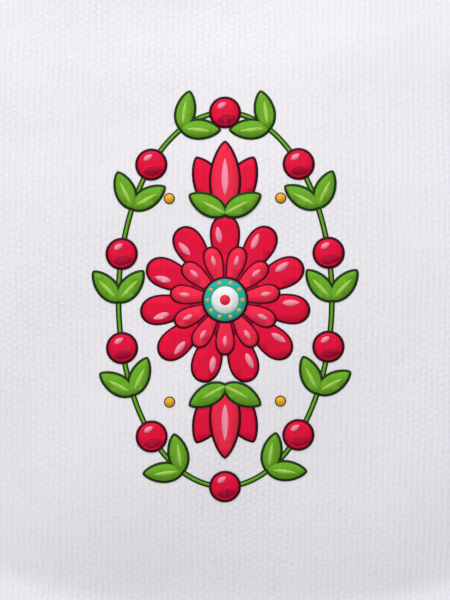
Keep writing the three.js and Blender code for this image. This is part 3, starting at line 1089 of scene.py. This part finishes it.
class SHIRT_OT_stitching(bpy.types.Operator):
    """Sews the hem, the cuffs, the neckline and the tape"""

    bl_idname = "shirt.stitching"
    bl_label = "Stitching"

    def execute(self, context):
        sizes, colours = context.scene.shirt_sizes, context.scene.shirt_colours
        material = sewing_thread("sewing_thread", colours.thread)
        lines = {
            "hem_stitches": [hem_stitch_points(row) for row in STITCH_ROWS],
            "cuff_stitches": [cuff_stitch_points(s, row) for s in (1, -1) for row in CUFF_STITCH_ROWS],
            "neckline_stitches": [neckline_stitch_points()],
            "tape_stitches": [tape_stitch_points(row) for row in TAPE_STITCH_ROWS],
        }
        for name, runs in lines.items():
            bm = bmesh.new()
            for points in runs:
                stitch_line(bm, points, sizes.stitch_length, sizes.stitch_pitch, sizes.thread)
            new_piece(bm, name, material)
        return {"FINISHED"}


class SHIRT_OT_print(bpy.types.Operator):
    """Prints a flower rosette in an oval garland on the chest"""

    bl_idname = "shirt.print"
    bl_label = "Print"

    LAYER = 0.045  # millimetres from one ink to the next
    LIFT = 0.05  # millimetres from the cloth to the lowest ink
    FILM_STEP = 0.005  # millimetres between motifs of one ink that may overlap
    OUTLINE = 0.85
    CELL = 3.0  # millimetres between the cuts that let the film follow the folds
    INK_RELIEF = 0.35  # share of the knit's relief that shows through the ink
    PETALS = 11
    GARLAND = (34.5, 61.0)  # half width and half height of the oval stem

    def garland(self, angle):
        """A point of the oval stem."""
        return Vector((self.GARLAND[0] * math.cos(angle), self.GARLAND[1] * math.sin(angle)))

    def execute(self, context):
        sizes, colours = context.scene.shirt_sizes, context.scene.shirt_colours
        inks = {}

        def ink(name, layer):
            return inks.setdefault((name, layer), bmesh.new())

        def motif(name, layer, segments, shape, centre, angle, grow=0.0):
            """Adds one shape to an ink, a step above or below the ink's last ones."""
            bm = ink(name, layer)
            before = set(bm.verts)
            add_outline(bm, segments, shape, centre, angle, grow)
            step = self.FILM_STEP * (len(bm.faces) % 5)
            for vert in bm.verts:
                if vert not in before:
                    vert.co.z = step

        def stem(name, layer, half):
            """Adds the garland's oval ring, which reaches half to either side of its line."""
            bm = ink(name, layer)
            ring = bmesh.ops.create_circle(bm, segments=144, radius=1.0)["verts"]
            edges = list({edge for vert in ring for edge in vert.link_edges})
            outer = bmesh.ops.extrude_edge_only(bm, edges=edges)["geom"]
            for reach, part in ((-half, ring), (half, outer)):
                for vert in part:
                    if isinstance(vert, bmesh.types.BMVert):
                        vert.co.x *= self.GARLAND[0] + reach
                        vert.co.y *= self.GARLAND[1] + reach
            bmesh.ops.recalc_face_normals(bm, faces=bm.faces[:])

        def outlined(tone, layer, segments, shape, centre, angle, rim="outline", grow=self.OUTLINE):
            """Adds a shape and, one layer lower, its wider outline."""
            motif(rim, layer, segments, shape, centre, angle, grow)
            motif(tone, layer + 1, segments, shape, centre, angle)

        stem("dark_green", 0, 0.95)
        stem("green", 1, 0.4)

        for i, angle in enumerate(even_angles(20, 720, self.garland)[0]):
            centre = self.garland(angle)
            ahead = self.garland(angle + math.pi / 2)
            along = math.degrees(math.atan2(ahead.y, ahead.x))
            if i % 2:
                outlined("crimson", 3, 32, disc_shape(4.4), centre, 0)
                motif("dark_crimson", 5, 24, leaf_shape(6.4, 1.5), (centre[0] - 2.6, centre[1] - 2.6), 8)
                motif("pink", 6, 16, leaf_shape(3.2, 0.85), (centre[0] - 2.4, centre[1] + 1.5), 32)
                continue
            if centre[0] < -0.001:
                along += 180
            for side in (1, -1):
                turn = along + side * 40
                outlined("green", 2, 32, leaf_shape(12.0, 2.7), centre, turn, "dark_green")
                foot = centre + Vector(around(1.6, turn))
                motif("light_green", 4, 16, leaf_shape(7.6, 0.65), foot, turn + side * 4)

        for sign in (1, -1):
            foot = (0.0, sign * 28.0)
            out = 90 * sign
            for turn in (out - 62, out + 62):
                outlined("green", 5, 28, leaf_shape(12.5, 2.9), foot, turn, "dark_green")
                motif("light_green", 7, 16, leaf_shape(8.5, 0.6), foot, turn)
            for turn in (out - 27, out + 27):
                outlined("crimson", 1, 32, leaf_shape(20.0, 4.6), foot, turn)
            outlined("red", 3, 32, leaf_shape(23.0, 4.4), foot, out)
            motif("pink", 6, 20, leaf_shape(12.0, 1.1), (0.0, sign * 34.0), out)
            for across in (-18.0, 18.0):
                motif("outline", 0, 16, disc_shape(1.5), (across, sign * 33.0), 0, 0.35)
                motif("yellow", 6, 16, disc_shape(1.5), (across, sign * 33.0), 0)

        middle = (0.0, 0.0)
        for i in range(self.PETALS):
            turn = 90 + 360 * i / self.PETALS
            motif("outline", 1, 44, petal_shape(6.0, 27.0, 5.6), middle, turn, self.OUTLINE)
            motif("crimson", 2, 44, petal_shape(7.0, 27.0, 5.6), middle, turn)
            motif("dark_crimson", 3, 28, leaf_shape(12.0, 2.6), middle, turn)
            motif("pink", 4, 20, leaf_shape(5.4, 1.0), around(18.6, turn + 5), turn + 9)
            turn += 180 / self.PETALS
            outlined("red", 4, 36, petal_shape(4.0, 17.4, 3.5), middle, turn, grow=0.8 * self.OUTLINE)
            motif("pink", 6, 16, leaf_shape(3.4, 0.7), around(11.6, turn), turn)
        motif("outline", 6, 48, disc_shape(7.6), middle, 0)
        motif("teal", 7, 48, disc_shape(6.8), middle, 0)
        motif("white", 8, 40, disc_shape(4.4), middle, 0)
        for i in range(10):
            motif("yellow", 8, 12, disc_shape(0.62), around(5.65, 36 * i), 0)
        motif("red", 9, 24, disc_shape(1.7), middle, 0)

        relief = self.INK_RELIEF * sizes.knit_relief
        materials = {}
        for (tone, layer), bm in inks.items():
            if tone not in materials:
                colour = getattr(colours, tone)
                materials[tone] = printed_ink("ink_" + tone, colour, sizes.rib_pitch, relief)
            place_on_cloth(bm, self.LIFT + self.LAYER * layer, self.CELL)
            new_piece(bm, f"print_{tone}_{layer}", materials[tone])
        return {"FINISHED"}


class SHIRT_OT_stage(bpy.types.Operator):
    """Puts the shirt on a pale floor in soft light, with the camera straight above the chest"""

    bl_idname = "shirt.stage"
    bl_label = "Stage"

    FRAME_HEIGHT = 0.195  # metres of cloth that the picture is tall
    DISTANCE = 0.62
    FLOOR_HALF = 3.0
    CLEARANCE = 0.0001  # metres by which the floor clears the cloth that lies on it

    def execute(self, context):
        scene = context.scene
        bm = bmesh.new()
        bmesh.ops.create_grid(bm, x_segments=8, y_segments=8, size=self.FLOOR_HALF)
        mesh = bpy.data.meshes.new("floor")
        bm.to_mesh(mesh)
        bm.free()
        mesh.materials.append(plain_floor("plain_floor", (0.86, 0.86, 0.87)))
        floor = bpy.data.objects.new("floor", mesh)
        floor.location.z = -self.CLEARANCE
        scene.collection.objects.link(floor)

        self.light("window", (-0.2, 1.2, 0.85), (0, 0, 0), 1.3, 15.9)
        self.light("fill", (-1.2, -0.9, 1.6), (0, 0, 0), 1.8, 4.0)
        world = bpy.data.worlds.new("room")
        world.use_nodes = True
        background = world.node_tree.nodes["Background"]
        background.inputs["Color"].default_value = (0.99, 0.99, 1.0, 1.0)
        background.inputs["Strength"].default_value = 0.5
        scene.world = world

        camera = bpy.data.objects.new("camera", bpy.data.cameras.new("camera"))
        scene.collection.objects.link(camera)
        centre = to_row(0, PRINT_MIDDLE_Y, 18)
        camera.location = (centre.x, centre.y, centre.z + self.DISTANCE)
        camera.data.lens = camera.data.sensor_width * self.DISTANCE / self.FRAME_HEIGHT
        camera.data.clip_start = 0.01
        scene.camera = camera
        scene.view_settings.view_transform = "Standard"
        return {"FINISHED"}

    def light(self, name, place, target, size, power):
        data = bpy.data.lights.new(name, "AREA")
        data.shape = "SQUARE"
        data.size = size
        data.energy = power
        lamp = bpy.data.objects.new(name, data)
        lamp.location = place
        lamp.rotation_euler = (Vector(target) - Vector(place)).to_track_quat("-Z", "Y").to_euler()
        bpy.context.scene.collection.objects.link(lamp)


class SHIRT_PT_panel(bpy.types.Panel):
    """Lists the steps that dress the shirt"""

    bl_label = "Shirt"
    bl_idname = "SHIRT_PT_panel"
    bl_space_type = "VIEW_3D"
    bl_region_type = "UI"
    bl_category = "Shirt"

    def draw(self, context):
        layout = self.layout
        for group in (context.scene.shirt_sizes, context.scene.shirt_colours):
            for key in group.__annotations__:
                layout.prop(group, key)
        for step in STEPS:
            layout.operator(step.bl_idname)


STEPS = (
    SHIRT_OT_neck_tape,
    SHIRT_OT_back_panel,
    SHIRT_OT_front_panel,
    SHIRT_OT_sleeves,
    SHIRT_OT_collar,
    SHIRT_OT_stitching,
    SHIRT_OT_print,
    SHIRT_OT_stage,
)
CLASSES = (ShirtSizes, ShirtColours, *STEPS, SHIRT_PT_panel)


def register():
    for cls in CLASSES:
        bpy.utils.register_class(cls)
    bpy.types.Scene.shirt_sizes = PointerProperty(type=ShirtSizes)
    bpy.types.Scene.shirt_colours = PointerProperty(type=ShirtColours)


def unregister():
    del bpy.types.Scene.shirt_colours
    del bpy.types.Scene.shirt_sizes
    for cls in reversed(CLASSES):
        bpy.utils.unregister_class(cls)


def main():
    register()
    bpy.ops.shirt.neck_tape()
    bpy.ops.shirt.back_panel()
    bpy.ops.shirt.front_panel()
    bpy.ops.shirt.sleeves()
    bpy.ops.shirt.collar()
    bpy.ops.shirt.stitching()
    bpy.ops.shirt.print()
    bpy.ops.shirt.stage()


if __name__ == "__main__":
    main()
